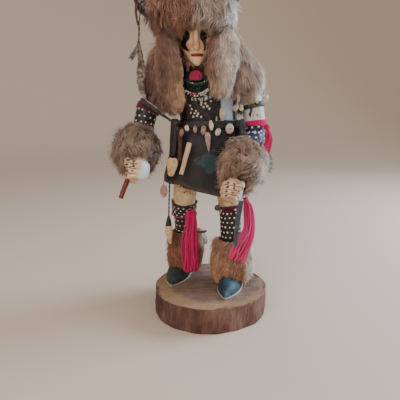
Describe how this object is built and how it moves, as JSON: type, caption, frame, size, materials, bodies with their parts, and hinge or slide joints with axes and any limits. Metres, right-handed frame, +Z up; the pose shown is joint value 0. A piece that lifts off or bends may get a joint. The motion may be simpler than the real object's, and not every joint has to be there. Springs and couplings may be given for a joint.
{
  "type": "kachina doll",
  "caption": "Carved wooden kachina dancer in fur hat, cape, cuffs and boots, leather kilt, shells and yarn tassels, standing on a log slice.",
  "frame": {"origin": "centre of the underside of the log slice", "axes": "+Z up, the face looks along -Y, +X is the figure's own left"},
  "size_m": [0.2107, 0.1568, 0.4713],
  "materials": {
    "log_wood": "sawn log slice, grey-brown end grain, red-brown fissured bark",
    "painted_wood": "carved wood under matt cream and black paint, hand-worn",
    "horn": "dark brown horn, near black at the edge and tip, low sheen",
    "fur_brown": "brown-grey rabbit fur, soft, agouti tips",
    "fur_grey": "whitish-grey fur, long and soft",
    "fur_russet": "orange-brown short fur",
    "leather_black": "black leather, fine grain, soft sheen, scuffed edges",
    "leather_brown": "dark brown thong leather",
    "leather_slate": "blue-grey suede strip",
    "beads_dark": "black and teal-green glass seed beads",
    "beads_white": "white seed beads, glossy",
    "felt_crimson": "crimson felt, matt",
    "yarn_crimson": "crimson wool yarn, loosely plied",
    "shell": "cream and pink shell and bone, smooth, low sheen",
    "feather": "dark brown barred feather",
    "red_wood": "turned stick, dark red paint",
    "bell": "small tarnished olive-brown bell"
  },
  "bodies": {
    "root": {"base_log_slice": "log_wood", "figure_carved": "painted_wood", "horn_right": "horn", "horn_left": "horn", "hat_fur": "fur_brown", "collar_beaded": "beads_dark", "collar_felt_fan": "felt_crimson", "bead_string_green": "beads_dark", "bead_string_white": "beads_white", "bead_string_lower": "beads_dark", "bandolier": "leather_black", "chest_strap_right": "leather_brown", "chest_tie": "leather_black", "side_strap_left": "leather_black", "kilt_leather": "leather_black", "belt": "leather_black", "sheath_strap": "leather_black", "sheath_thong_strip": "leather_brown", "bone_pendant": "shell", "flat_stick": "painted_wood", "claw_pendant": "shell", "belt_shell_1": "shell", "belt_shell_2": "shell", "belt_shell_4": "shell", "belt_shell_5": "shell", "belt_shell_6": "shell", "belt_cabochon": "shell", "chest_shell_right": "shell", "chest_shell_left": "shell", "side_shell_front": "shell", "side_shell_back": "shell", "arm_strap_right": "leather_black", "arm_band_left": "leather_black", "arm_shell_left": "shell", "yarn_wrap_left": "yarn_crimson", "yarn_wrap_right": "yarn_crimson", "tassel_arm_left": "yarn_crimson", "feather_arm_left": "feather", "cuff_fur_right": "fur_brown", "cuff_fur_left": "fur_brown", "stick_right_hand": "red_wood", "hand_strap_left": "leather_slate", "garter_right": "leather_black", "garter_left": "yarn_crimson", "garter_bell_left": "bell", "tassel_leg_right": "yarn_crimson", "tassel_leg_left": "yarn_crimson", "bell_leg_right": "bell", "boot_fur_right": "fur_russet", "boot_fur_left": "fur_russet", "kilt_thong": "leather_brown", "thong_cap": "leather_black", "cone_pendant": "shell", "hem_shell": "shell", "horn_thong": "leather_brown", "feather_upper": "feather", "feather_lower": "feather", "hair_fall_right": "fur_brown", "hair_fall_left": "fur_grey", "cape_fur": "fur_brown"}
  },
  "joints": []
}
